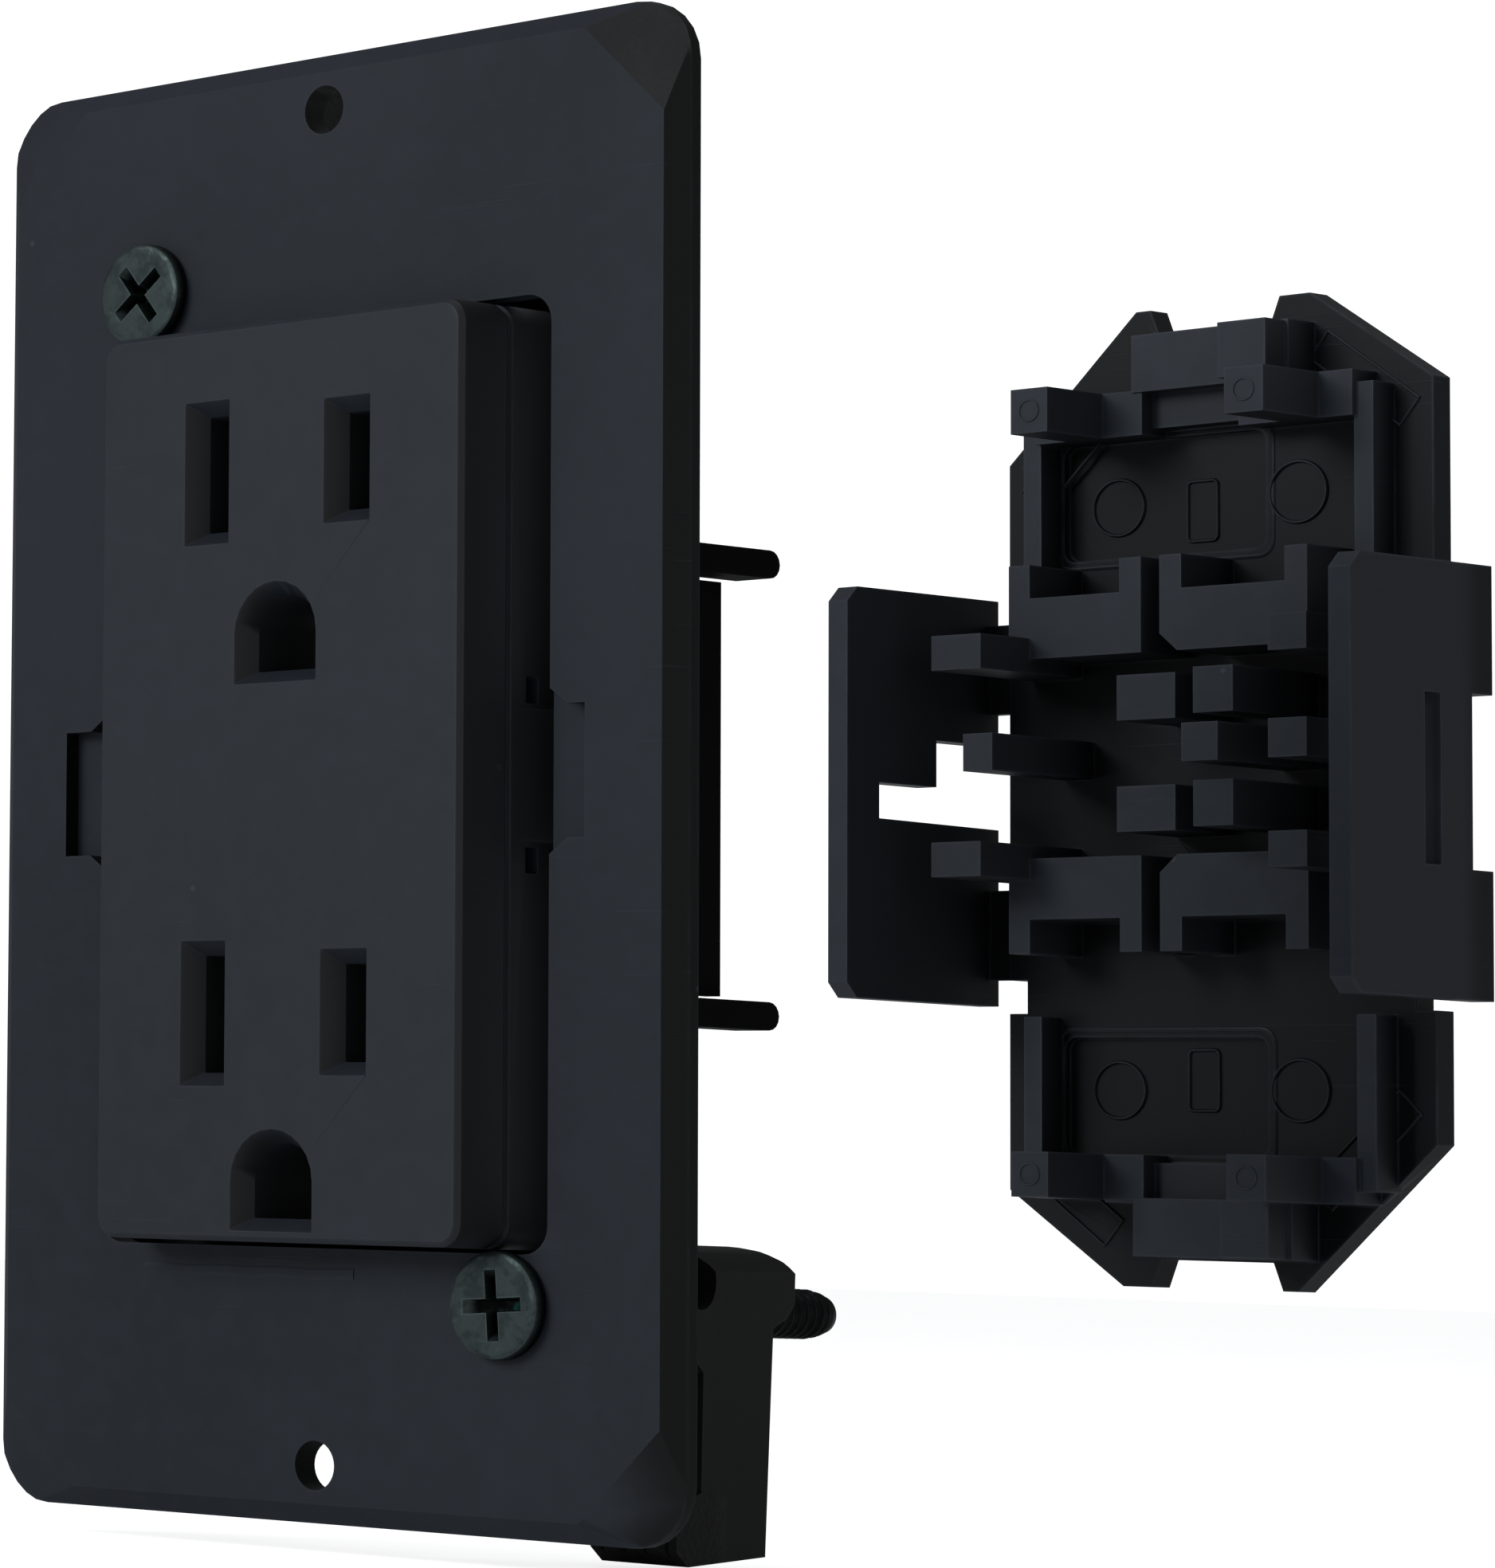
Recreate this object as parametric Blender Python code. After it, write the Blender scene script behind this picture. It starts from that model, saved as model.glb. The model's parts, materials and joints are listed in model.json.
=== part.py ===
"""Duplex wall outlet, self-contained type: mounting plate, raised receptacle face,
open-backed rear housing, bus straps and contacts, two swing clamps on long screws,
and a clip-on rear cover drawn back off the housing.

+Z up, X to the right of somebody facing the outlet.  The face looks along -Y and the wall
lies on the +Y side, so "front" is the low-y end of a piece and "back" the high-y end.
Dimensions are in mm and count y from the plate's rear face; two parent empties carry the
pieces and finally move so that the origin is the centre of the outlet's front face.
"""
import math

import bmesh
import bpy
from mathutils import Matrix, Vector

for old_object in list(bpy.data.objects):
    bpy.data.objects.remove(old_object, do_unlink=True)

MM = 0.001
BOTH = (1, -1)                 # right and left, or top and bottom
SMOOTH_ANGLE = math.radians(35.0)

# ---------------------------------------------------------------- shared dimensions, mm
GAP = 0.3                      # running gap between neighbouring pieces

PLATE_FRONT = -2.0             # front plane of the plate
FACE_HALF_H = 32.8
FACE_FRONT = -6.6
BODY_BACK = 3.4                # rear of the moulded receptacle face
POCKET_HALF_H = 4.6            # latch pockets in the plate, and the ramps seen in them

OUTLET_PITCH = 38.9            # upper to lower outlet
BLADE_X = 6.35                 # blade slots either side of centre
BLADE_Z_UP = 22.3
GROUND_DROP = 11.9             # ground hole below the blades
SLOT_HALF_W = 1.05
GROUND_R = 2.75
OUTLETS = (("upper", BLADE_Z_UP), ("lower", BLADE_Z_UP - OUTLET_PITCH))
# name, side, half height of the slot, amount the contact is shorter at each end
BLADES = (("neutral", -1, 4.2, 0.4), ("hot", 1, 3.45, 0.2))
COMB_Z = 2.85                  # mid-way between the two outlets' blade rows

HOUSING_FRONT = BODY_BACK + GAP
HOUSING_FLOOR = HOUSING_FRONT + 1.1    # rear surface of the housing's front web
STRAP_FRONT = HOUSING_FLOOR + GAP
RIB_Z0, RIB_Z1 = 14.9, 16.9    # side ribs, which pass through notches in the cover

SCREW_X, SCREW_Z = 16.3, 36.65
SCREW_R = 1.6
RECESS_R, RECESS_DEPTH = 3.2, 0.85     # recess behind the plate for the screw's retainer
BUSH_R, BUSH_FRONT, BUSH_BACK = 2.7, 16.4, 21.4

PULL = 79.9                    # the loose cover stands this far behind its fitted place
LIFT = 5.0                     # and this much above it


# ---------------------------------------------------------------- outlines and spans
def about(centre, half):
    return centre - half, centre + half


def mirrored(side, near, far, centre=0.0):
    """Span between two distances from the centre, on the side given by its sign."""
    return sorted((centre + side * near, centre + side * far))


def rectangle(u_span, v_span):
    (u0, u1), (v0, v1) = u_span, v_span
    return [(u0, v0), (u1, v0), (u1, v1), (u0, v1)]


def arc(cu, cv, radius, start, end, steps):
    angles = [start + (end - start) * i / steps for i in range(steps + 1)]
    return [(cu + radius * math.cos(a), cv + radius * math.sin(a)) for a in angles]


def ellipse(cu, cv, radius_u, radius_v, segments):
    angles = [2 * math.pi * i / segments for i in range(segments)]
    return [(cu + radius_u * math.cos(a), cv + radius_v * math.sin(a)) for a in angles]


def round_rect(half_w, half_h, radius, steps=6, centre=(0.0, 0.0)):
    points = []
    for quarter, (su, sv) in enumerate(((1, 1), (-1, 1), (-1, -1), (1, -1))):
        start = quarter * math.pi / 2
        points += arc(centre[0] + su * (half_w - radius), centre[1] + sv * (half_h - radius),
                      radius, start, start + math.pi / 2, steps)
    return points


# ---------------------------------------------------------------- solids
def solid(rings):
    """Closed body through rings of equal length, each a list of (x, y, z) in mm."""
    bm = bmesh.new()
    rows = [[bm.verts.new(Vector(point) * MM) for point in ring] for ring in rings]
    bm.faces.new(rows[0])
    bm.faces.new(list(reversed(rows[-1])))
    count = len(rows[0])
    for near, far in zip(rows, rows[1:]):
        for i in range(count):
            j = (i + 1) % count
            bm.faces.new((near[i], near[j], far[j], far[i]))
    bmesh.ops.recalc_face_normals(bm, faces=bm.faces)
    mesh = bpy.data.meshes.new("tool")
    bm.to_mesh(mesh)
    bm.free()
    ob = bpy.data.objects.new("tool", mesh)
    bpy.context.scene.collection.objects.link(ob)
    return ob


def loft(*stations):
    """Closed body through (outline, y) stations, each outline in (x, z)."""
    return solid([[(x, y, z) for x, z in outline] for outline, y in stations])


def prism(outline, axis, span):
    """Outline swept along an axis: (y, z) points for x, (x, z) for y, (x, y) for z."""
    place = {
        "x": lambda u, v, along: (along, u, v),
        "y": lambda u, v, along: (u, along, v),
        "z": lambda u, v, along: (u, v, along),
    }[axis]
    return solid([[place(u, v, along) for u, v in outline] for along in span])


def box(x_span, y_span, z_span):
    return prism(rectangle(x_span, z_span), "y", y_span)


def rod(centre, radius, y_span, segments=32):
    return prism(ellipse(*centre, radius, radius, segments), "y", y_span)


def boolean(base, tools, operation):
    """Apply the tools to the base in order, then delete them."""
    for tool in tools:
        mod = base.modifiers.new("bool", "BOOLEAN")
        mod.operation = operation
        mod.solver = "EXACT"
        mod.object = tool
    depsgraph = bpy.context.evaluated_depsgraph_get()
    depsgraph.update()
    result = bpy.data.meshes.new_from_object(base.evaluated_get(depsgraph))
    old_mesh = base.data
    base.modifiers.clear()
    base.data = result
    bpy.data.meshes.remove(old_mesh)
    for tool in tools:
        tool_mesh = tool.data
        bpy.data.objects.remove(tool, do_unlink=True)
        bpy.data.meshes.remove(tool_mesh)
    return base


def join(base, *others):
    return boolean(base, others, "UNION")


def cut(base, *others):
    return boolean(base, others, "DIFFERENCE")


# ---------------------------------------------------------------- scene set-up
def material(name, colour, roughness, metallic=0.0):
    mat = bpy.data.materials.new(name)
    mat.use_nodes = True
    shader = next(n for n in mat.node_tree.nodes if n.type == "BSDF_PRINCIPLED")
    shader.inputs["Base Color"].default_value = (*colour, 1.0)
    shader.inputs["Roughness"].default_value = roughness
    shader.inputs["Metallic"].default_value = metallic
    return mat


def empty(name, position):
    ob = bpy.data.objects.new(name, None)
    ob.location = Vector(position) * MM
    bpy.context.scene.collection.objects.link(ob)
    return ob


PLASTIC = material("outlet_plastic", colour=(0.026, 0.031, 0.040), roughness=0.5)
PLASTIC_BACK = material("housing_plastic", colour=(0.020, 0.022, 0.026), roughness=0.5)
PLASTIC_COVER = material("cover_plastic", colour=(0.022, 0.026, 0.033), roughness=0.48)
NYLON = material("clamp_nylon", colour=(0.022, 0.024, 0.022), roughness=0.55)
STEEL = material("screw_steel", colour=(0.055, 0.070, 0.072), roughness=0.42, metallic=0.85)
BRASS = material("contact_brass", colour=(0.42, 0.29, 0.11), roughness=0.35, metallic=1.0)
TIN = material("ground_strap_steel", colour=(0.30, 0.30, 0.28), roughness=0.4, metallic=1.0)

OUTLET_AXIS = empty("outlet_axis", (0, 0, 0))
COVER_AXIS = empty("cover_axis", (0, PULL, LIFT))


def finish(ob, name, mat, origin=(0.0, 0.0, 0.0), parent=OUTLET_AXIS):
    """Name, material, origin in mm and parent; the mesh stays where it is."""
    offset = Vector(origin) * MM
    ob.data.transform(Matrix.Translation(-offset))
    ob.name = name
    ob.data.name = name
    ob.data.materials.clear()
    ob.data.materials.append(mat)
    for polygon in ob.data.polygons:
        polygon.use_smooth = True
    ob.data.set_sharp_from_angle(angle=SMOOTH_ANGLE)
    ob.parent = parent
    ob.location = offset - parent.location


def screw_centre(end):
    """(x, z) of a clamp screw: upper left for end 1, lower right for end -1."""
    return -end * SCREW_X, end * SCREW_Z


# ---------------------------------------------------------------- mounting plate
PLATE_HALF_W, PLATE_HALF_H = 30.6, 52.55
PLATE_EDGE = -0.9              # where the edge bevel ends
PLATE_BEVEL = 1.4
PLATE_CORNER_R = 4.5
PLATE_FACET = 6.6              # leg of the large corner facets
FACET_REACH = 15.0             # half length, and slope length, of a facet cutter
FACET_FOOT_INSET, FACET_FOOT_RISE = 1.5, 0.1   # foot of a facet, from the rim and its edge
PLATE_HOLE_Z, PLATE_HOLE_R = 48.42, 1.75       # wall-plate screw holes, 96.84 mm apart
SCREW_HOLE_R = 2.1
OPENING_HALF_W, OPENING_HALF_H = 20.0, FACE_HALF_H + GAP   # window round the face
OPENING_R = 2.0
POCKET_RIGHT, POCKET_LEFT = 22.9, 23.9         # reach of the latch pockets at mid height
POCKET_LEAD_W, POCKET_LEAD_H = 1.5, 1.1        # slanted corner where a pocket starts
GUIDE_IN, GUIDE_OUT, GUIDE_HALF_H = 22.5, 25.0, 6.4        # lugs that guide the latch arms
GUIDE_Y = (-0.6, 6.0)
POCKET_FLOOR_IN, POCKET_FLOOR_OUT = 19.3, GUIDE_OUT - 0.3
POCKET_FLOOR_Y = (-0.75, 0.55)                 # in front of the arm's tip
POCKET_FLOOR_HALF_H = POCKET_HALF_H + 1.5
PLATE_THROUGH = (-6.0, 8.0)


def plate_outline(inset):
    return round_rect(PLATE_HALF_W - inset, PLATE_HALF_H - inset, PLATE_CORNER_R - inset)


def facet_cutter(side, end):
    """Wedge that slopes one corner of the plate down to its rim."""
    flat_w, flat_h = PLATE_HALF_W - PLATE_BEVEL, PLATE_HALF_H - PLATE_BEVEL
    side_point = Vector((side * flat_w, PLATE_FRONT, end * (flat_h - PLATE_FACET)))
    end_point = Vector((side * (flat_w - PLATE_FACET), PLATE_FRONT, end * flat_h))
    foot = Vector((side * (PLATE_HALF_W - FACET_FOOT_INSET), PLATE_EDGE + FACET_FOOT_RISE,
                   end * (PLATE_HALF_H - FACET_FOOT_INSET)))
    along = (end_point - side_point).normalized()
    middle = (side_point + end_point) / 2
    down = foot - middle
    down = (down - along * down.dot(along)).normalized()
    top = [middle - along * FACET_REACH, middle + along * FACET_REACH]
    slope = top + [point + down * FACET_REACH for point in reversed(top)]
    forward = Vector((0, -8, 0))
    return solid([slope, [point + forward for point in slope]])


def pocket_edge(side, reach):
    """Edge of one latch pocket, from top to bottom."""
    upper = [(side * OPENING_HALF_W, POCKET_HALF_H + POCKET_LEAD_H),
             (side * (OPENING_HALF_W + POCKET_LEAD_W), POCKET_HALF_H),
             (side * reach, POCKET_HALF_H)]
    return upper + [(x, -z) for x, z in reversed(upper)]


def window_outline():
    corners = round_rect(OPENING_HALF_W, OPENING_HALF_H, OPENING_R)
    half = len(corners) // 2
    return (corners[:half] + pocket_edge(-1, POCKET_LEFT)
            + corners[half:] + pocket_edge(1, POCKET_RIGHT)[::-1])


def mounting_plate():
    rim = plate_outline(0.0)
    body = loft((rim, 0.0), (rim, PLATE_EDGE), (plate_outline(PLATE_BEVEL), PLATE_FRONT))
    body = join(body, *[
        box(mirrored(side, GUIDE_IN, GUIDE_OUT), GUIDE_Y, about(0, GUIDE_HALF_H))
        for side in BOTH])
    tools = [prism(window_outline(), "y", PLATE_THROUGH)]
    for end in BOTH:
        tools += [
            rod((0, end * PLATE_HOLE_Z), PLATE_HOLE_R, PLATE_THROUGH),
            rod(screw_centre(end), SCREW_HOLE_R, PLATE_THROUGH),
            rod(screw_centre(end), RECESS_R, (-RECESS_DEPTH, PLATE_THROUGH[1])),
        ]
    tools += [facet_cutter(side, end) for side in BOTH for end in BOTH]
    body = cut(body, *tools)
    # the pocket floors go in last, since the window cut would remove them
    body = join(body, *[
        box(mirrored(side, POCKET_FLOOR_IN, POCKET_FLOOR_OUT), POCKET_FLOOR_Y,
            about(0, POCKET_FLOOR_HALF_H))
        for side in BOTH])
    finish(body, "mounting_plate", PLASTIC)


mounting_plate()

# ---------------------------------------------------------------- receptacle face
FACE_HALF_W = 16.35
FACE_R = 1.7
FACE_EDGE = 0.35               # bevel round the front
SEAM_GROOVE = 0.3              # depth of the groove at the plate's front plane
RAMP_IN, RAMP_OUT, RAMP_FRONT = 15.0, 17.6, -0.6
PIT_IN, PIT_OUT = FACE_HALF_W - 1.4, FACE_HALF_W + 1.0     # relief pits beside the ramps
PIT_Z0, PIT_Z1, PIT_Y = 5.0, 6.8, (0.0, 1.2)
GROUND_FLAT = 2.6              # centre of the ground hole to its flat bottom
LEAD_SIDE, LEAD_DEPTH = 1.0, 1.5       # lead-in of a hole, each side and in depth
LEAD_OVER = 0.2                # lead-in cutters start this far in front of the face
SLOT_MOUTH = LEAD_SIDE * (1 + LEAD_OVER / LEAD_DEPTH)      # widening at that start
GROUND_MOUTH = LEAD_SIDE * 1.07


def hole_cutters(bore, mouth):
    """A flared lead-in and the straight bore behind it."""
    lead_back = FACE_FRONT + LEAD_DEPTH
    return [
        loft((mouth, FACE_FRONT - LEAD_OVER), (bore, lead_back), (bore, lead_back + 0.4)),
        prism(bore, "y", (lead_back - 0.05, BODY_BACK + 2)),
    ]


def ground_outline(z, extra):
    """D-shaped hole: arch on top, flat below."""
    radius, bottom = GROUND_R + extra, z - (GROUND_FLAT + extra)
    return arc(0.0, z, radius, 0.0, math.pi, 12) + [(-radius, bottom), (radius, bottom)]


def slot_outline(x, z, half_h, extra):
    return rectangle(about(x, SLOT_HALF_W + extra), about(z, half_h + extra))


def receptacle_face():
    def outline(inset):
        return round_rect(FACE_HALF_W - inset, FACE_HALF_H - inset, FACE_R - inset)

    full, groove = outline(0.0), outline(SEAM_GROOVE)
    body = loft(
        (outline(FACE_EDGE), FACE_FRONT),
        (full, FACE_FRONT + FACE_EDGE),
        (full, PLATE_FRONT - 0.15),
        (groove, PLATE_FRONT - 0.05),
        (groove, PLATE_FRONT + 0.35),
        (full, PLATE_FRONT + 0.45),
        (full, BODY_BACK),
    )
    # latch ramps on both sides, seen through the plate's pockets
    ramp = [(RAMP_IN, RAMP_FRONT), (FACE_HALF_W, RAMP_FRONT),
            (RAMP_OUT, BODY_BACK), (RAMP_IN, BODY_BACK)]
    body = join(body, *[
        prism([(side * x, y) for x, y in ramp], "z", about(0, POCKET_HALF_H))
        for side in BOTH])
    tools = []
    for _, z in OUTLETS:
        for _, side, half_h, _ in BLADES:
            x = side * BLADE_X
            tools += hole_cutters(slot_outline(x, z, half_h, 0.0),
                                  slot_outline(x, z, half_h, SLOT_MOUTH))
        ground_z = z - GROUND_DROP
        tools += hole_cutters(ground_outline(ground_z, 0.0),
                              ground_outline(ground_z, GROUND_MOUTH))
    tools += [box(mirrored(side, PIT_IN, PIT_OUT), PIT_Y, mirrored(end, PIT_Z0, PIT_Z1))
              for side in BOTH for end in BOTH]
    finish(cut(body, *tools), "receptacle_face", PLASTIC)


receptacle_face()

# ---------------------------------------------------------------- rear housing
HOUSING_HALF_W, HOUSING_HALF_H, HOUSING_R = 18.0, 27.8, 2.0
HOUSING_BACK = 15.3
HOUSING_WALL = 1.2
BLOCK_HALF_H, BLOCK_BACK = 14.6, 17.9      # middle part, deeper towards the back
NOSE_HALF_W, NOSE_HALF_H, NOSE_R = 7.3, 32.45, 1.5     # ends round the ground sockets
NOSE_BACK, NOSE_WALL = 10.7, 0.8
WEB_HALF_W, WEB_HALF_H, WEB_R = 20.05, 34.6, 1.0       # front web, closes the gap round the face
WEB_END_W, WEB_END_Z = 23.2, 30.4          # wider ends of the web
RIB_OUT, RIB_BACK = 20.1, 21.4
CATCH_HALF_H = 4.2
# (x, y) of the right-hand catch, kept low enough for a rigid arm to pass
CATCH = ((HOUSING_HALF_W - 0.5, 10.8), (20.1, 10.8), (20.1, 11.9), (HOUSING_HALF_W - 0.5, 15.4))
PIN_WAY_Y = (2.0, 7.0)         # depth span of the ways for blades and ground pins
DOORWAY_HALF_W, DOORWAY_Y = 9.2, (9.5, 30.0)


def side_rib(side, end):
    """Rib with a rounded back end."""
    half = (RIB_Z1 - RIB_Z0) / 2
    z = end * (RIB_Z0 + RIB_Z1) / 2
    front = HOUSING_FRONT + 0.2
    profile = [(front, z - half)]
    profile += arc(RIB_BACK - half, z, half, -math.pi / 2, math.pi / 2, 8)
    profile += [(front, z + half)]
    return prism(profile, "x", mirrored(side, HOUSING_HALF_W - 0.8, RIB_OUT))


def rear_housing():
    shell = prism(round_rect(HOUSING_HALF_W, HOUSING_HALF_H, HOUSING_R), "y",
                  (HOUSING_FRONT, HOUSING_BACK))
    block = box(about(0, HOUSING_HALF_W), (HOUSING_FRONT + 0.5, BLOCK_BACK),
                about(0, BLOCK_HALF_H))
    nose = prism(round_rect(NOSE_HALF_W, NOSE_HALF_H, NOSE_R), "y", (HOUSING_FRONT, NOSE_BACK))
    web = prism(round_rect(WEB_HALF_W, WEB_HALF_H, WEB_R), "y", (HOUSING_FRONT, HOUSING_FLOOR))
    web_ends = [
        box(about(0, WEB_END_W), (HOUSING_FRONT + 0.05, HOUSING_FRONT + 1.0),
            mirrored(end, WEB_END_Z, WEB_HALF_H - 0.1))
        for end in BOTH]
    side_parts = []
    for side in BOTH:
        side_parts += [side_rib(side, end) for end in BOTH]
        side_parts.append(prism([(side * x, y) for x, y in CATCH], "z", about(0, CATCH_HALF_H)))
    body = join(shell, block, nose, web, *web_ends, *side_parts)

    shell_cavity = round_rect(HOUSING_HALF_W - HOUSING_WALL, HOUSING_HALF_H - HOUSING_WALL, 1.2)
    nose_cavity = round_rect(NOSE_HALF_W - NOSE_WALL, NOSE_HALF_H - NOSE_WALL, 0.9)
    tools = [
        prism(shell_cavity, "y", (HOUSING_FLOOR, BLOCK_BACK + 3)),
        prism(nose_cavity, "y", (HOUSING_FLOOR, BLOCK_BACK + 3.5)),
    ]
    for _, z in OUTLETS:
        for _, side, half_h, _ in BLADES:
            tools.append(box(about(side * BLADE_X, SLOT_HALF_W), PIN_WAY_Y, about(z, half_h)))
        tools.append(rod((0, z - GROUND_DROP), GROUND_R, PIN_WAY_Y, segments=24))
    # cable doorways at both ends
    tools += [box(about(0, DOORWAY_HALF_W), DOORWAY_Y,
                  mirrored(end, HOUSING_HALF_H - 3, NOSE_HALF_H + 3))
              for end in BOTH]
    finish(cut(body, *tools), "rear_housing", PLASTIC_BACK)


rear_housing()

# ---------------------------------------------------------------- contacts
BLADE_CONTACT_DEPTH = 5.6
LEAF_T = 0.6                   # thickness of a spring leaf
LEAF_X = 0.95                  # contact centre to a leaf's inner side
LEAF_PINCH = 0.25              # the inner side comes this much closer part way
LEAF_PINCH_Y, LEAF_STRAIGHT_Y = 2.4, 4.4       # from the front of the contact
SOCKET_R, SOCKET_T, SOCKET_DEPTH = 2.3, 0.5, 5.2
SOCKET_ARC = (math.radians(-60), math.radians(240))    # open at the bottom


def blade_contact(x, z, half_h, name):
    """Two spring leaves joined across the back, open at the front."""
    front, back = STRAP_FRONT, STRAP_FRONT + BLADE_CONTACT_DEPTH
    right = [
        (LEAF_X + LEAF_T, back),
        (LEAF_X + LEAF_T, front),
        (LEAF_X, front),
        (LEAF_X - LEAF_PINCH, front + LEAF_PINCH_Y),
        (LEAF_X, front + LEAF_STRAIGHT_Y),
        (LEAF_X, back - LEAF_T),
    ]
    outline = right + [(-offset, y) for offset, y in reversed(right)]
    body = prism([(x + offset, y) for offset, y in outline], "z", about(z, half_h))
    finish(body, name, BRASS, origin=(x, back, z))


def ground_contact(z, name):
    """Open ring round the ground pin."""
    back = STRAP_FRONT + SOCKET_DEPTH
    outline = arc(0, z, SOCKET_R + SOCKET_T, *SOCKET_ARC, 14)
    outline += reversed(arc(0, z, SOCKET_R, *SOCKET_ARC, 14))
    body = prism(outline, "y", (STRAP_FRONT, back))
    finish(body, name, TIN, origin=(0, back, z))


for word, outlet_z in OUTLETS:
    for blade, blade_side, slot_half_h, shorter in BLADES:
        blade_contact(blade_side * BLADE_X, outlet_z, slot_half_h - shorter,
                      f"{blade}_contact_{word}")
    ground_contact(outlet_z - GROUND_DROP, f"ground_contact_{word}")

# ---------------------------------------------------------------- bus straps
# y values in this section count from STRAP_FRONT
FORK_HALF_T = 0.45             # half thickness of a fork, in z
FORK_DZ = 11.6                 # wire forks above and below the comb centre
BUS_IN, BUS_OUT, BUS_DEPTH = 9.2, 10.4, 4.2
BUS_END = 3.2                  # strap runs this far past the blade centres
BUS_FORK_IN, BUS_FORK_OUT, BUS_SLOT_X = 4.9, 8.1, 6.5
BUS_FOOT_OUT = 9.8
BUS_FOOT_Y, BUS_TINE_Y, BUS_SLOT_Y = (0.4, 1.4), (0.6, 6.4), (2.8, 6.9)

GROUND_STRAP_X, GROUND_STRAP_DEPTH = (3.5, 4.3), 3.6
GROUND_STRAP_BELOW, GROUND_STRAP_ABOVE = 0.5, 1.0      # past the ground hole centres
GROUND_FORK_HALF_W = 1.7
GROUND_FOOT_Y, GROUND_TINE_Y, GROUND_SLOT_Y = (0.3, 1.3), (0.5, 5.4), (2.6, 6.0)


def strap_box(x_span, y_span, z_span):
    return box(x_span, [STRAP_FRONT + y for y in y_span], z_span)


def fork_slot(x, z, y_span, half_w, mouth_half_w, mouth_depth):
    """Straight slot that flares towards its open back end."""
    front, back = (STRAP_FRONT + y for y in y_span)
    outline = [
        (x - half_w, front), (x + half_w, front), (x + half_w, back - mouth_depth),
        (x + mouth_half_w, back), (x - mouth_half_w, back), (x - half_w, back - mouth_depth),
    ]
    return prism(outline, "z", about(z, 1))


def bus_strap(side, name):
    """Flat bus along one side with two slotted wire forks standing rearwards."""
    body = strap_box(mirrored(side, BUS_IN, BUS_OUT), (0, BUS_DEPTH),
                     (BLADE_Z_UP - OUTLET_PITCH - BUS_END, BLADE_Z_UP + BUS_END))
    fork_heights = (COMB_Z + FORK_DZ, COMB_Z - FORK_DZ)
    forks = []
    for z in fork_heights:
        z_span = about(z, FORK_HALF_T)
        forks += [
            strap_box(mirrored(side, BUS_FORK_IN, BUS_FOOT_OUT), BUS_FOOT_Y, z_span),
            strap_box(mirrored(side, BUS_FORK_IN, BUS_FORK_OUT), BUS_TINE_Y, z_span),
        ]
    body = join(body, *forks)
    body = cut(body, *[
        fork_slot(side * BUS_SLOT_X, z, BUS_SLOT_Y,
                  half_w=0.45, mouth_half_w=1.1, mouth_depth=1.6)
        for z in fork_heights])
    finish(body, name, BRASS, origin=(side * 9.8, STRAP_FRONT, COMB_Z))


def ground_strap():
    """Narrow strap between the ground sockets, with one wire fork at the comb centre."""
    upper_z = BLADE_Z_UP - GROUND_DROP
    body = strap_box(GROUND_STRAP_X, (0, GROUND_STRAP_DEPTH),
                     (upper_z - OUTLET_PITCH - GROUND_STRAP_BELOW,
                      upper_z + GROUND_STRAP_ABOVE))
    z_span = about(COMB_Z, FORK_HALF_T)
    foot = strap_box((-GROUND_FORK_HALF_W, GROUND_STRAP_X[1]), GROUND_FOOT_Y, z_span)
    tine = strap_box(about(0, GROUND_FORK_HALF_W), GROUND_TINE_Y, z_span)
    body = join(body, foot, tine)
    body = cut(body, fork_slot(0, COMB_Z, GROUND_SLOT_Y,
                               half_w=0.4, mouth_half_w=1.0, mouth_depth=1.3))
    finish(body, "ground_bus_strap", TIN, origin=(4.2, STRAP_FRONT, COMB_Z))


bus_strap(1, "hot_bus_strap")
bus_strap(-1, "neutral_bus_strap")
ground_strap()

# ---------------------------------------------------------------- clamp screws
SCREW_HEAD_R, SCREW_HEAD_T = 3.75, 1.1
SCREW_SEAT = PLATE_FRONT - 0.05
SCREW_TIP = 31.2
CROSS_HALF_L, CROSS_HALF_W = 2.45, 0.48            # cross recess at the head's front
CROSS_DEEP_HALF_L, CROSS_DEEP_HALF_W = 1.0, 0.3    # and at its bottom
RETAINER_FRONT, RETAINER_T = -RECESS_DEPTH + 0.12, 0.6


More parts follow.
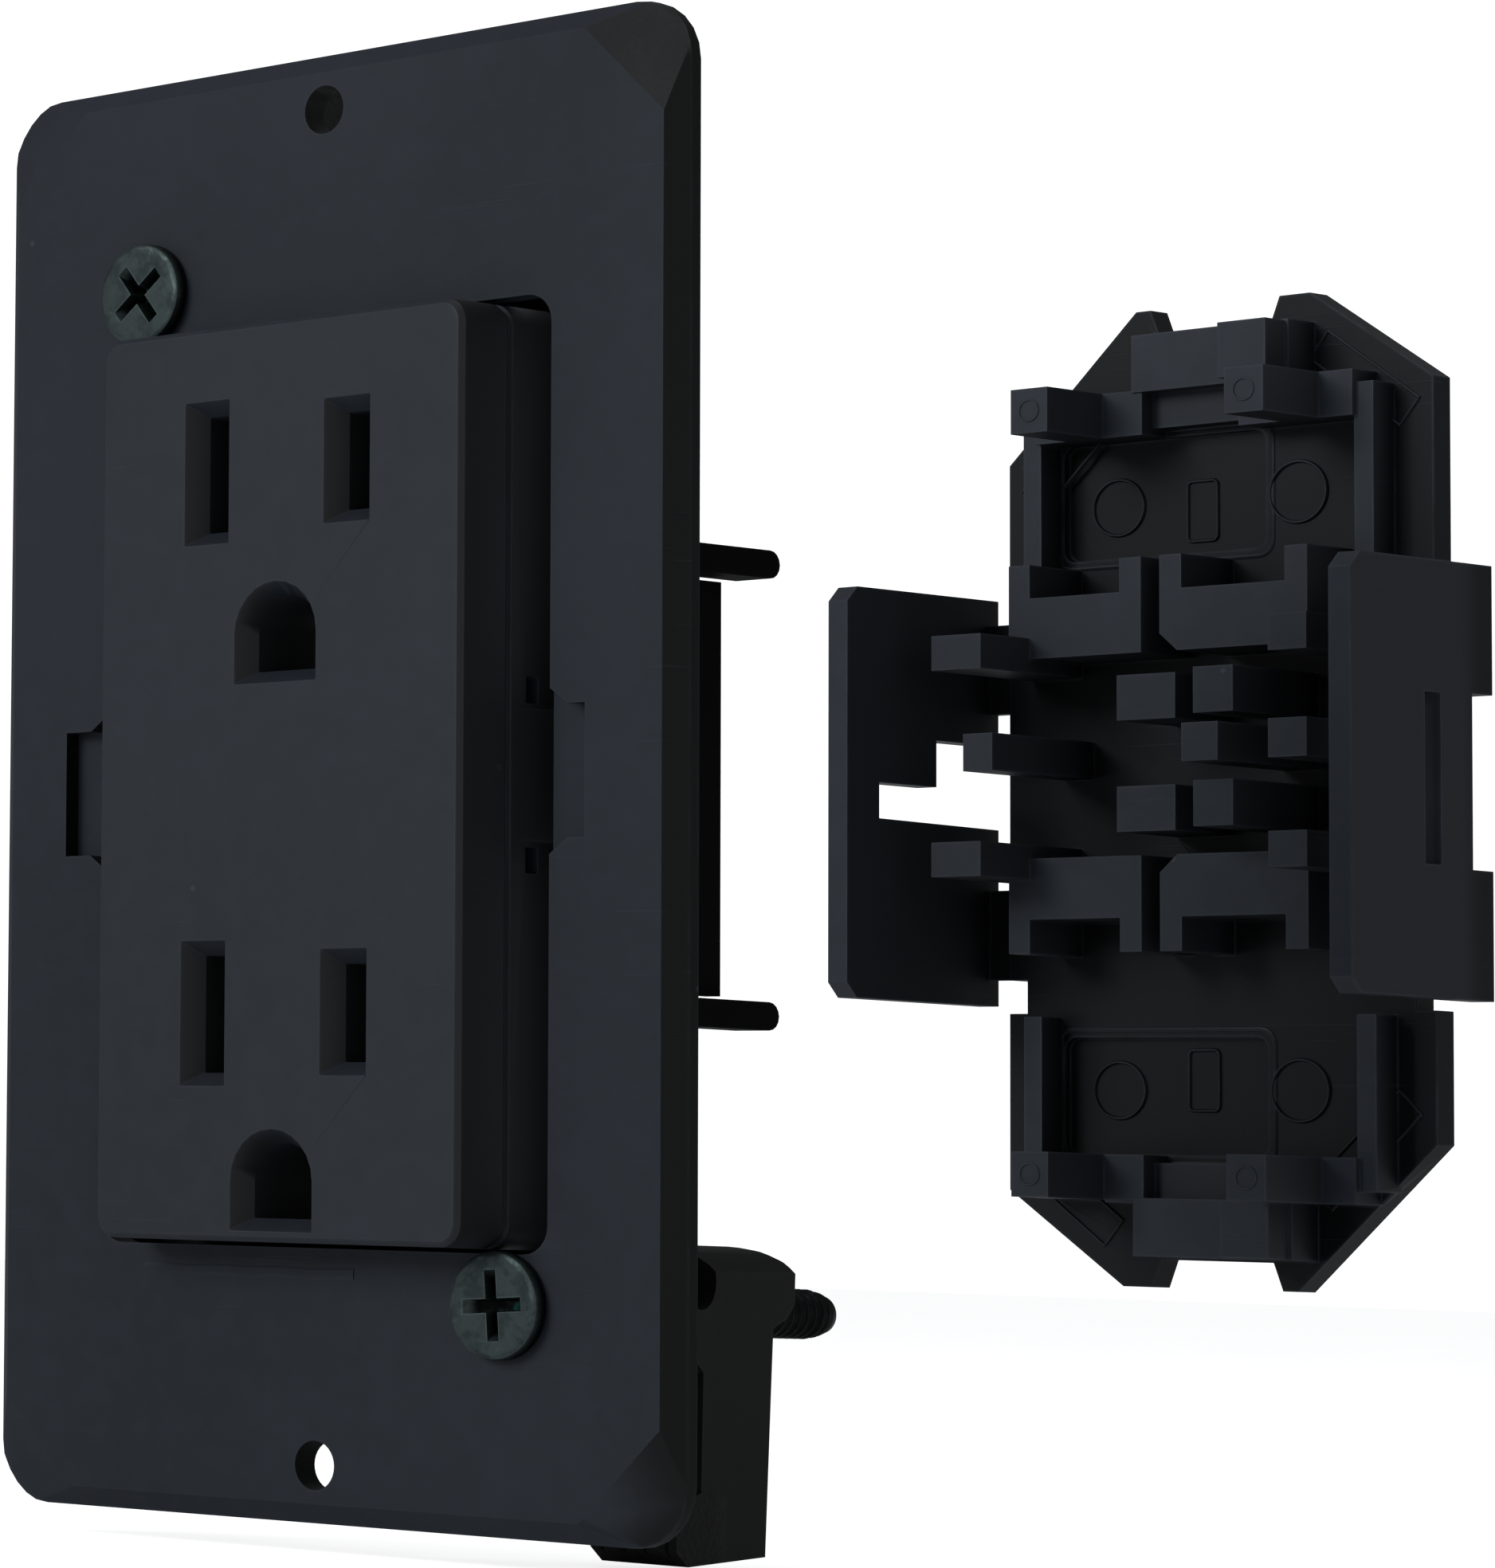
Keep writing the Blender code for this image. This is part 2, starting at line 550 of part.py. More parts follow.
def screw(end, turn, name):
    """Long screw; the turn in degrees sets its cross recess."""
    x, z = screw_centre(end)
    head_front = SCREW_SEAT - SCREW_HEAD_T
    # radius, y
    profile = (
        (SCREW_HEAD_R - 0.35, head_front),
        (SCREW_HEAD_R - 0.08, head_front + 0.12),
        (SCREW_HEAD_R, head_front + 0.35),
        (SCREW_HEAD_R, SCREW_SEAT - 0.1),
        (SCREW_HEAD_R - 0.1, SCREW_SEAT),
        (SCREW_R, SCREW_SEAT),
        (SCREW_R, SCREW_TIP - 1.4),
        (SCREW_R - 0.25, SCREW_TIP - 0.6),
        (SCREW_R - 0.9, SCREW_TIP),
    )
    body = loft(*[(ellipse(x, z, radius, radius, 40), y) for radius, y in profile])

    def turned_bar(half_l, half_w, angle):
        cos, sin = math.cos(angle), math.sin(angle)
        return [(x + u * cos - v * sin, z + u * sin + v * cos)
                for u, v in rectangle(about(0, half_l), about(0, half_w))]

    tools = []
    for quarter in range(2):
        angle = math.radians(turn) + quarter * math.pi / 2
        tools.append(loft(
            (turned_bar(CROSS_HALF_L + 0.15, CROSS_HALF_W, angle), head_front - 0.3),
            (turned_bar(CROSS_HALF_L, CROSS_HALF_W, angle), head_front),
            (turned_bar(CROSS_DEEP_HALF_L, CROSS_DEEP_HALF_W, angle), SCREW_SEAT + 0.7),
        ))
    finish(cut(body, *tools), name, STEEL, origin=(x, PLATE_FRONT, z))


def collar(end, outer_r, inner_r, y_span, name, mat):
    """Ring round a clamp screw."""
    x, z = screw_centre(end)
    front, back = y_span
    body = cut(rod((x, z), outer_r, y_span, segments=28),
               rod((x, z), inner_r, (front - 1, back + 1), segments=28))
    finish(body, name, mat, origin=(x, front, z))


# ---------------------------------------------------------------- wall clamps
CLAMP_HALF_W = 3.6
CLAMP_BOSS_R = 4.6             # rounding that lets the boss turn clear of its neighbours
CLAMP_THROUGH = (5.0, 30.0)
# side profile: y, distance outwards from the screw axis
CLAMP_PROFILE = (
    (12.2, -4.6), (20.9, -4.6), (22.2, -4.3), (23.1, -3.6), (23.4, -2.8), (23.3, -0.6),
    (22.4, 0.4), (21.1, 1.0), (20.3, 16.9), (12.4, 17.6), (11.2, 16.6), (11.2, 13.6),
    (12.4, 13.0), (13.7, 12.5), (13.9, 4.2), (13.3, 3.6), (12.2, 3.6),
)
SCOOP_Y, SCOOP_INWARD = 13.7, 2.1      # elliptical scoop in the boss, on its +x side
SCOOP_RADIUS_Y, SCOOP_RADIUS_Z, SCOOP_L = 1.5, 2.0, 8.0
CHANNEL_HALF_W, CHANNEL_FRONT = 2.2, 18.6      # hollow down the back of the arm
CHANNEL_IN, CHANNEL_OUT = 5.2, 11.6
TOOTH_PITCH, TOOTH_HALF_W = 1.8, 0.45
TOOTH_FRONT, TOOTH_TIP = 10.6, 11.75
TOOTH_IN, TOOTH_OUT = 12.5, 19.0


def clamp(end, name):
    """Swing clamp: a boss on the screw and an arm reaching outwards to a gripping foot."""
    x, z = screw_centre(end)
    body = prism([(y, z + end * out) for y, out in CLAMP_PROFILE], "x", about(x, CLAMP_HALF_W))
    keep = arc(x, z, CLAMP_BOSS_R, 0.0, -end * math.pi, 20)
    keep += [(x - CLAMP_BOSS_R, z + end * 30), (x + CLAMP_BOSS_R, z + end * 30)]
    body = boolean(body, [prism(keep, "y", CLAMP_THROUGH)], "INTERSECT")

    scoop = ellipse(SCOOP_Y, z - end * SCOOP_INWARD, SCOOP_RADIUS_Y, SCOOP_RADIUS_Z, 20)
    tools = [
        rod((x, z), SCREW_R + 0.2, CLAMP_THROUGH, segments=28),
        rod((x, z), BUSH_R + 0.05, (BUSH_FRONT - GAP, CLAMP_THROUGH[1]), segments=28),
        prism(scoop, "x", (x, x + SCOOP_L)),
        box(about(x, CHANNEL_HALF_W), (CHANNEL_FRONT, CLAMP_THROUGH[1]),
            mirrored(end, CHANNEL_IN, CHANNEL_OUT, centre=z)),
    ]
    # grooves that leave grip teeth on the foot
    for i in range(4):
        groove_x = x + (i - 1.5) * TOOTH_PITCH
        left, right = about(groove_x, TOOTH_HALF_W)
        groove = [(left, TOOTH_FRONT), (right, TOOTH_FRONT), (groove_x, TOOTH_TIP)]
        tools.append(prism(groove, "z", mirrored(end, TOOTH_IN, TOOTH_OUT, centre=z)))
    finish(cut(body, *tools), name, NYLON, origin=(x, PLATE_FRONT, z))


for word, clamp_end, cross_turn in (("upper", 1, 38.0), ("lower", -1, 4.0)):
    screw(clamp_end, cross_turn, f"clamp_screw_{word}")
    collar(clamp_end, RECESS_R - 0.35, SCREW_R + 0.08,
           (RETAINER_FRONT, RETAINER_FRONT + RETAINER_T), f"screw_retainer_{word}", TIN)
    collar(clamp_end, BUSH_R - 0.1, SCREW_R + 0.1,
           (BUSH_FRONT, BUSH_BACK), f"clamp_bushing_{word}", BRASS)
    clamp(clamp_end, f"wall_clamp_{word}")

# ---------------------------------------------------------------- rear cover
# y values in this section are those of the fitted cover; the helpers add PULL
TRAY_HALF_W, TRAY_HALF_H, TRAY_MID_H = 18.4, 39.0, 36.8
TRAY_CUT = 45.9                # |x| + |z| limit at the two corners next to the clamps
FLOOR_FRONT, FLOOR_BACK = 18.3, 20.4
ROOT, DEEP_ROOT = FLOOR_FRONT + 0.4, FLOOR_FRONT + 0.5     # back ends, sunk in the floor
ARM_IN, ARM_OUT, ARM_HALF_H = 20.4, 22.2, 16.6
ARM_BACK = 19.6
ARM_FRONT = {1: 2.4, -1: 1.0}  # by side: the right arm is a little shorter
ARM_CHAMFER = 1.2
RIM_FRONT = 15.7
# bridges from floor to arms, inset rim walls: (x in, out), (y front, back), (z near, far)
SIDE_BLOCKS = (
    ((TRAY_HALF_W - 1.5, ARM_OUT), (FLOOR_FRONT + 0.2, ARM_BACK), (7.2, RIB_Z0 - 0.4)),
    ((13.6, 15.2), (RIM_FRONT, DEEP_ROOT), (17.6, 31.2)),
)
# end blocks that grip the cable: (x left, right), (y front, back), (z near, far)
END_BLOCKS = (
    ((-5.0, 8.6), (15.0, DEEP_ROOT), (32.0, TRAY_MID_H - 0.2)),
    ((4.2, 8.3), (12.6, ROOT), (32.1, TRAY_MID_H - 0.3)),
    ((-8.6, 8.6), (16.6, DEEP_ROOT), (29.2, 32.4)),
)
# strain-relief fingers, low and tall step: (x in, out), y front
FINGER_Z = (28.6, 32.2)
FINGERS = (((4.2, 13.8), 15.2), ((7.7, 11.0), 8.4))

# comb between the two outlets; z distances count from COMB_Z
STUFFER_X = ((-13.7, -1.9), (-0.3, 12.3))      # U-shaped wire stuffers
STUFFER_FRONT, STUFFER_LEG_W, STUFFER_LEG_Z = 11.8, 1.9, (9.6, 15.6)
STUFFER_BASE_Z = (8.0, 12.9)
STUFFER_BEVEL_W, STUFFER_BEVEL_Z = 1.5, 9.4    # slanted left corner nearest COMB_Z
# guide posts in the mirrored rows: (x left, right), y front, (z near, far)
POSTS = (
    ((-16.3, -11.8), 5.8, (6.9, 9.7)),
    ((13.1, 16.3), 5.8, (6.9, 9.7)),
    ((-3.4, 1.7), 10.9, (2.6, 6.2)),
    ((5.4, 8.8), 7.8, (2.6, 6.2)),
)
MIDDLE_POST_X = ((-13.4, -10.75), (5.8, 8.9), (13.1, 16.3))
MIDDLE_POST_FRONT = 5.8
MIDDLE_POST_Z = (COMB_Z - 1.3, COMB_Z + 1.7)

# (y, z) outlines of the notches open at the back of the arms, by side
NOTCH_BACK = ARM_BACK + 2
ARM_NOTCH = {
    1: ((17.1, -6.7), (NOTCH_BACK, -6.7), (NOTCH_BACK, 6.7), (17.1, 6.7)),
    -1: ((4.9, -2.0), (NOTCH_BACK, -2.2), (NOTCH_BACK, 4.7), (11.9, 4.7), (11.9, 0.9),
         (4.9, 0.9)),
}
ARM_WINDOW_Y, ARM_WINDOW_HALF_H = (11.3, 13.2), 6.5    # right arm only
RIB_NOTCH_IN, RIB_CLEARANCE = 16.8, 0.35
FLOOR_RECESS_X, FLOOR_RECESS_Z, FLOOR_RECESS_DEPTH = -4.5, 23.9, 0.7


def pulled(y_span):
    return [PULL + y for y in y_span]


def cover_box(x_span, y_span, z_span):
    return box(x_span, pulled(y_span), z_span)


def cover_profile(profile, x_span):
    return prism([(PULL + y, z) for y, z in profile], "x", x_span)


def tray_outline():
    """Two corners clear the clamps, two are fuller; the end edges dip between the ears."""
    half = [
        (TRAY_HALF_W, TRAY_HALF_W - TRAY_CUT), (TRAY_HALF_W, 31.5),
        (8.2, TRAY_HALF_H), (5.6, TRAY_HALF_H), (4.8, TRAY_MID_H),
        (-4.8, TRAY_MID_H), (-5.6, TRAY_HALF_H), (TRAY_HALF_H - TRAY_CUT, TRAY_HALF_H),
    ]
    return half + [(-x, -z) for x, z in half]


def latch_arm(side):
    tip = ARM_FRONT[side]
    upper = [(ARM_BACK, ARM_HALF_H), (tip + ARM_CHAMFER, ARM_HALF_H),
             (tip, ARM_HALF_H - ARM_CHAMFER)]
    profile = [(y, -z) for y, z in reversed(upper)] + upper
    return cover_profile(profile, mirrored(side, ARM_IN, ARM_OUT))


def cover_edge_parts():
    parts = []
    for side in BOTH:
        parts.append(latch_arm(side))
        for x_span, y_span, z_span in SIDE_BLOCKS:
            parts += [cover_box(mirrored(side, *x_span), y_span, mirrored(end, *z_span))
                      for end in BOTH]
    for end in BOTH:
        parts += [cover_box(x_span, y_span, mirrored(end, *z_span))
                  for x_span, y_span, z_span in END_BLOCKS]
    return parts


def cover_fingers():
    return [cover_box(mirrored(side, *x_span), (front, ROOT), mirrored(end, *FINGER_Z))
            for end in BOTH for side in BOTH for x_span, front in FINGERS]


def stuffer(left, right, end):
    """U-shaped stuffer: a base across and two legs pointing away from COMB_Z."""
    near, far = STUFFER_BASE_Z
    base = [(left, STUFFER_BEVEL_Z), (left + STUFFER_BEVEL_W, near), (right, near),
            (right, far), (left, far)]
    y_span = (STUFFER_FRONT, ROOT)
    leg_z = mirrored(end, *STUFFER_LEG_Z, centre=COMB_Z)
    return [
        prism([(x, COMB_Z + end * z) for x, z in base], "y", pulled(y_span)),
        cover_box((left, left + STUFFER_LEG_W), y_span, leg_z),
        cover_box((right - STUFFER_LEG_W, right), y_span, leg_z),
    ]


def cover_comb():
    parts = []
    for end in BOTH:
        for left, right in STUFFER_X:
            parts += stuffer(left, right, end)
        parts += [cover_box(x_span, (front, ROOT), mirrored(end, *z_span, centre=COMB_Z))
                  for x_span, front, z_span in POSTS]
    parts += [cover_box(x_span, (MIDDLE_POST_FRONT, ROOT), MIDDLE_POST_Z)
              for x_span in MIDDLE_POST_X]
    return parts


def cover_cutters():
    right_arm_x = mirrored(1, ARM_IN - 1.0, ARM_OUT + 1.0)
    tools = [cover_box(right_arm_x, ARM_WINDOW_Y, about(0, ARM_WINDOW_HALF_H))]
    for side in BOTH:
        tools.append(cover_profile(ARM_NOTCH[side],
                                   mirrored(side, ARM_IN - 1.0, ARM_OUT + 1.0)))
        # notches in the floor for the housing's ribs
        tools += [cover_box(mirrored(side, RIB_NOTCH_IN, TRAY_HALF_W + 1.0),
                            (RIM_FRONT - 1, FLOOR_BACK + 1),
                            mirrored(end, RIB_Z0 - RIB_CLEARANCE, RIB_Z1 + RIB_CLEARANCE))
                  for end in BOTH]
    # shallow floor recesses behind each outlet
    for end in BOTH:
        outline = round_rect(8.9, 4.7, 1.0, steps=4,
                             centre=(FLOOR_RECESS_X, end * FLOOR_RECESS_Z))
        tools.append(prism(outline, "y",
                           pulled((FLOOR_FRONT - 1, FLOOR_FRONT + FLOOR_RECESS_DEPTH))))
    return tools


def rear_cover():
    body = prism(tray_outline(), "y", pulled((FLOOR_FRONT, FLOOR_BACK)))
    body = join(body, *cover_edge_parts())
    body = join(body, *cover_fingers(), *cover_comb())
    body = cut(body, *cover_cutters())
    body.data.transform(Matrix.Translation(Vector((0, 0, LIFT)) * MM))
    finish(body, "rear_cover", PLASTIC_COVER, origin=(0, PULL, LIFT), parent=COVER_AXIS)


rear_cover()

# the origin is the centre of the outlet's front face
for axis_empty in (OUTLET_AXIS, COVER_AXIS):
    axis_empty.location.y -= FACE_FRONT * MM
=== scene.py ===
"""Looks for the self-contained duplex wall outlet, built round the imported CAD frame."""
import json
import math

import bmesh
import bpy
from mathutils import Matrix, Vector


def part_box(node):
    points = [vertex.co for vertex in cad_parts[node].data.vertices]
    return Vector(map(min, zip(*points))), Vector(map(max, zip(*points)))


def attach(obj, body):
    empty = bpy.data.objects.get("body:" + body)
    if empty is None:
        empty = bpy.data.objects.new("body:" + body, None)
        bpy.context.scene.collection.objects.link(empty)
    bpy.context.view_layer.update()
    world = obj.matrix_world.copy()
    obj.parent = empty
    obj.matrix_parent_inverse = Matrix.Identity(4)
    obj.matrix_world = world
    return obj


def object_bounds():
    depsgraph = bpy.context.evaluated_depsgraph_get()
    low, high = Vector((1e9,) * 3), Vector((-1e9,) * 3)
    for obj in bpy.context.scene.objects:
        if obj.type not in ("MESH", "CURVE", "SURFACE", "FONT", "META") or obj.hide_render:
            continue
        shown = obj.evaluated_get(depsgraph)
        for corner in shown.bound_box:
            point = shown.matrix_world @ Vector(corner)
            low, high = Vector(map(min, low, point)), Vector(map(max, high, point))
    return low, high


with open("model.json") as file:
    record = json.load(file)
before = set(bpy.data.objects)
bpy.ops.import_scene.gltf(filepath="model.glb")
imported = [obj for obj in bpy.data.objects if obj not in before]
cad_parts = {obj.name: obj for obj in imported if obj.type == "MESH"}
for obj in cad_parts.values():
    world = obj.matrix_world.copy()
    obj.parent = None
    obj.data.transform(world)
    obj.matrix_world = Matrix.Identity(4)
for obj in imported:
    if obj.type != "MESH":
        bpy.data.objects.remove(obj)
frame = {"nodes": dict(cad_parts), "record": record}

lo0, hi0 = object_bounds()
MM = 0.001
NODES = frame["nodes"]


# ------------------------------------------------------------------ node helpers
class Graph:
    """Thin wrapper that keeps the material code short."""

    def __init__(self, name):
        self.mat = bpy.data.materials.new(name)
        self.mat.use_nodes = True
        self.t = self.mat.node_tree
        self.t.nodes.clear()
        self.out = self.t.nodes.new("ShaderNodeOutputMaterial")
        self.bsdf = self.t.nodes.new("ShaderNodeBsdfPrincipled")
        self.link(self.bsdf.outputs[0], self.out.inputs["Surface"])
        self.coord = self.t.nodes.new("ShaderNodeTexCoord").outputs["Object"]

    def link(self, a, b):
        self.t.links.new(a, b)

    def put(self, socket, value):
        if isinstance(value, (int, float)):
            socket.default_value = value
        elif isinstance(value, (tuple, list)):
            socket.default_value = tuple(value) + ((1.0,) if len(value) == 3 and socket.type == "RGBA" else ())
        else:
            self.link(value, socket)

    def scaled(self, sx, sy, sz, rot=(0, 0, 0)):
        n = self.t.nodes.new("ShaderNodeMapping")
        self.link(self.coord, n.inputs["Vector"])
        n.inputs["Scale"].default_value = (sx, sy, sz)
        n.inputs["Rotation"].default_value = rot
        return n.outputs[0]

    def noise(self, scale, detail=3.0, rough=0.5, vector=None):
        n = self.t.nodes.new("ShaderNodeTexNoise")
        self.link(vector or self.coord, n.inputs["Vector"])
        n.inputs["Scale"].default_value = scale
        n.inputs["Detail"].default_value = detail
        n.inputs["Roughness"].default_value = rough
        return n.outputs[0]

    def voronoi(self, scale):
        n = self.t.nodes.new("ShaderNodeTexVoronoi")
        self.link(self.coord, n.inputs["Vector"])
        n.inputs["Scale"].default_value = scale
        return n.outputs["Distance"]

    def ramp(self, value, a, b, lo=0.0, hi=1.0):
        n = self.t.nodes.new("ShaderNodeMapRange")
        n.interpolation_type = "SMOOTHSTEP"
        self.link(value, n.inputs["Value"])
        n.inputs["From Min"].default_value = a
        n.inputs["From Max"].default_value = b
        n.inputs["To Min"].default_value = lo
        n.inputs["To Max"].default_value = hi
        return n.outputs[0]

    def math(self, op, a, b=0.0):
        n = self.t.nodes.new("ShaderNodeMath")
        n.operation = op
        self.put(n.inputs[0], a)
        self.put(n.inputs[1], b)
        return n.outputs[0]

    def mix(self, fac, a, b):
        n = self.t.nodes.new("ShaderNodeMix")
        n.data_type = "RGBA"
        self.put(n.inputs[0], fac)
        self.put(n.inputs[6], a)
        self.put(n.inputs[7], b)
        return n.outputs[2]

    def axis(self, i):
        n = self.t.nodes.new("ShaderNodeSeparateXYZ")
        self.link(self.coord, n.inputs[0])
        return n.outputs[i]

    def bump(self, height, strength, distance, normal=None):
        n = self.t.nodes.new("ShaderNodeBump")
        self.link(height, n.inputs["Height"])
        n.inputs["Strength"].default_value = strength
        n.inputs["Distance"].default_value = distance
        if normal is not None:
            self.link(normal, n.inputs["Normal"])
        return n.outputs[0]

    def edges(self, radius):
        """1 along sharp edges within the radius, 0 on open faces."""
        bev = self.t.nodes.new("ShaderNodeBevel")
        bev.samples = 4
        bev.inputs["Radius"].default_value = radius
        geo = self.t.nodes.new("ShaderNodeNewGeometry")
        dot = self.t.nodes.new("ShaderNodeVectorMath")
        dot.operation = "DOT_PRODUCT"
        self.link(bev.outputs[0], dot.inputs[0])
        self.link(geo.outputs["Normal"], dot.inputs[1])
        return self.ramp(dot.outputs["Value"], 0.995, 0.86)


def plastic(name, base, side, rough=0.46, grain=0.16, wear=0.35, specular=0.32, patch=None, deep=None, shade_turn=(0.15, 0.60)):
    """Moulded thermoplastic: fine grain, slow colour drift, hairline scratches, dust specks, rubbed edges, with painted
    shade on faces turned to +X and, for the cover, in its deep parts.
    """
    g = Graph(name)
    drift = g.noise(26.0, 4.0, 0.6)
    mottle = g.noise(420.0, 3.0, 0.55)
    fine = g.noise(3600.0, 2.0, 0.6)
    col = g.mix(g.ramp(drift, 0.3, 0.7), base, tuple(c * 0.8 for c in base))
    col = g.mix(g.ramp(mottle, 0.35, 0.7, 0.0, 0.35), col, tuple(c * 1.25 for c in base))
    # painted shade: faces turned to +X take the darker, browner side colour, standing in for the shade they sit in
    geo = g.t.nodes.new("ShaderNodeNewGeometry")
    sep = g.t.nodes.new("ShaderNodeSeparateXYZ")
    g.link(geo.outputs["Normal"], sep.inputs[0])
    col = g.mix(g.ramp(sep.outputs[0], *shade_turn), col, side)
    if deep is not None:
        # painted shade: faces not turned to the front take the darker side colour, and the tray's floor and flanks
        # darken further towards the back
        col = g.mix(g.ramp(sep.outputs[1], -0.85, -0.35), col, side)
        col = g.mix(g.ramp(g.axis(1), deep[0], deep[1]), col, tuple(c * 0.24 for c in side))
    # hairline scratches in three directions
    marks = None
    for k, rot in enumerate(((0.0, 0.5, 0.0), (0.0, 1.0, 0.0), (0.0, 2.2, 0.0))):
        v = g.scaled(70.0, 300.0, 2600.0, rot)
        s = g.ramp(g.noise(1.0, 1.0, 0.4, v), 0.735, 0.76)
        marks = s if marks is None else g.math("MAXIMUM", marks, s)
    gate = g.ramp(g.noise(60.0, 2.0, 0.5), 0.5, 0.66)
    marks = g.math("MULTIPLY", marks, gate)
    specks = g.math("MULTIPLY", g.ramp(g.voronoi(210.0), 0.06, 0.035), g.ramp(g.noise(95.0, 1.0), 0.56, 0.62))
    edge = g.math("MULTIPLY", g.edges(0.00035), g.ramp(g.noise(240.0, 3.0, 0.6), 0.3, 0.65, 0.35, 1.0))
    light = tuple(min(1.0, c * 2.3 + 0.01) for c in base)
    col = g.mix(g.math("MULTIPLY", edge, wear), col, light)
    col = g.mix(g.math("MULTIPLY", marks, 0.07), col, light)
    col = g.mix(g.math("MULTIPLY", specks, 0.22), col, tuple(min(1.0, c * 4 + 0.02) for c in base))
    g.put(g.bsdf.inputs["Base Color"], col)
    r = g.ramp(drift, 0.3, 0.72, rough - 0.05, rough + 0.07)
    r = g.math("ADD", r, g.math("MULTIPLY", fine, 0.08))
    r = g.math("SUBTRACT", r, g.math("MULTIPLY", edge, 0.10))
    g.put(g.bsdf.inputs["Roughness"], r)
    g.bsdf.inputs["Specular IOR Level"].default_value = specular
    n = g.bump(fine, grain, 0.00003)
    n = g.bump(mottle, 0.10, 0.00006, n)
    n = g.bump(marks, 0.35, 0.00002, n)
    if patch is not None:
        rubble = g.math("MULTIPLY", g.noise(1500.0, 4.0, 0.7), patch(g))
        n = g.bump(rubble, 0.9, 0.00035, n)
    g.put(g.bsdf.inputs["Normal"], n)
    return g.mat


def metal(name, base, rough, worn, recess_shade_and_tint=None):
    g = Graph(name)
    cloud = g.noise(700.0, 4.0, 0.65)
    fine = g.noise(5200.0, 2.0, 0.6)
    edge = g.edges(0.0002)
    col = g.mix(g.ramp(cloud, 0.38, 0.66), base, tuple(c * 0.55 for c in base))
    rub = g.math("MAXIMUM", g.math("MULTIPLY", edge, 0.55), g.ramp(g.noise(1500.0, 5.0, 0.7), 0.62, 0.74, 0.0, 0.5))
    col = g.mix(rub, col, worn)
    if recess_shade_and_tint is not None:
        # painted shade: everything more than 0.25 mm behind the screw head's face, chiefly the cross recess, goes
        # nearly black; a green tint sits near the axis at the recess bottom
        cx, cz, y = recess_shade_and_tint
        x = g.math("SUBTRACT", g.axis(0), cx)
        z = g.math("SUBTRACT", g.axis(2), cz)
        d = g.math("SQRT", g.math("ADD", g.math("MULTIPLY", x, x), g.math("MULTIPLY", z, z)))
        deep = g.ramp(g.axis(1), y, y + 0.0006)
        col = g.mix(g.math("MULTIPLY", deep, 0.92), col, (0.003, 0.004, 0.004))
        tint = g.math("MULTIPLY", g.math("MULTIPLY", g.ramp(d, 0.0014, 0.0004), deep), g.ramp(g.noise(900.0, 2.0), 0.42, 0.6))
        tint = g.math("MULTIPLY", tint, g.ramp(g.axis(1), y + 0.0050, y + 0.0040))
        col = g.mix(tint, col, (0.012, 0.11, 0.075))
    g.put(g.bsdf.inputs["Base Color"], col)
    g.bsdf.inputs["Metallic"].default_value = 0.9
    g.put(g.bsdf.inputs["Roughness"], g.ramp(cloud, 0.3, 0.7, rough - 0.06, rough + 0.16))
    n = g.bump(fine, 0.25, 0.00002)
    n = g.bump(cloud, 0.3, 0.00005, n)
    g.put(g.bsdf.inputs["Normal"], n)
    return g.mat


def foot_patch(g):
    """Roughened grip area near the ends of the clamps' feet, on their front and side."""
    z = g.math("ABSOLUTE", g.axis(2))
    return g.math("MULTIPLY", g.ramp(z, 0.0488, 0.0496), g.ramp(g.axis(1), 0.0231, 0.0216))


# the side colours below are painted shade for faces turned to +X, darker than the front colour
FRONT = (0.0250, 0.0310, 0.0415)
SHADE_SIDE = (0.0050, 0.0054, 0.0054)
FACE_SHADE_SIDE = (0.0230, 0.0250, 0.0265)
M_PLATE = plastic("plate_plastic", FRONT, SHADE_SIDE, 0.50, 0.15, 0.22, shade_turn=(0.04, 0.20), specular=0.24)
M_FACE = plastic("face_plastic", (0.0265, 0.0325, 0.0430), FACE_SHADE_SIDE, 0.44, 0.15, 0.34)
M_BACK = plastic("housing_plastic", (0.0060, 0.0065, 0.0075), (0.0015, 0.0015, 0.0015), 0.55, 0.12, 0.15, specular=0.06)
cover_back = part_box("rear_cover")[1].y
# the cover's deep range paints shade on its tray floor and flanks towards the back
M_COVER = plastic("cover_plastic", (0.0400, 0.0480, 0.0620), (0.0290, 0.0330, 0.0385), 0.40, 0.13, 0.45, specular=0.26, deep=(cover_back - 0.0050, cover_back - 0.0018))
M_CLAMP = plastic("clamp_nylon", (0.0110, 0.0120, 0.0105), (0.0075, 0.0080, 0.0065), 0.45, 0.14, 0.35, patch=foot_patch)

REC = {m["name"]: m for m in frame["record"]["mounts"]}


def screw_centre(node):
    a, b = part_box(node)
    return (a.x + b.x) / 2, (a.z + b.z) / 2, a.y


m_screw = {}
for word in ("upper", "lower"):
    cx, cz, front = screw_centre(f"clamp_screw_{word}")
    # the third value marks where the painted shade of the screw's cross recess begins
    m_screw[word] = metal(f"zinc_dark_{word}", (0.075, 0.098, 0.098), 0.40, (0.20, 0.25, 0.24), (cx, cz, front + 0.00025))
M_BRASS = metal("contact_brass", (0.42, 0.28, 0.10), 0.32, (0.62, 0.48, 0.22))
M_TIN = metal("tinned_steel", (0.30, 0.30, 0.28), 0.36, (0.5, 0.5, 0.48))
M_THREAD = metal("thread_steel", (0.010, 0.012, 0.012), 0.45, (0.05, 0.06, 0.055))


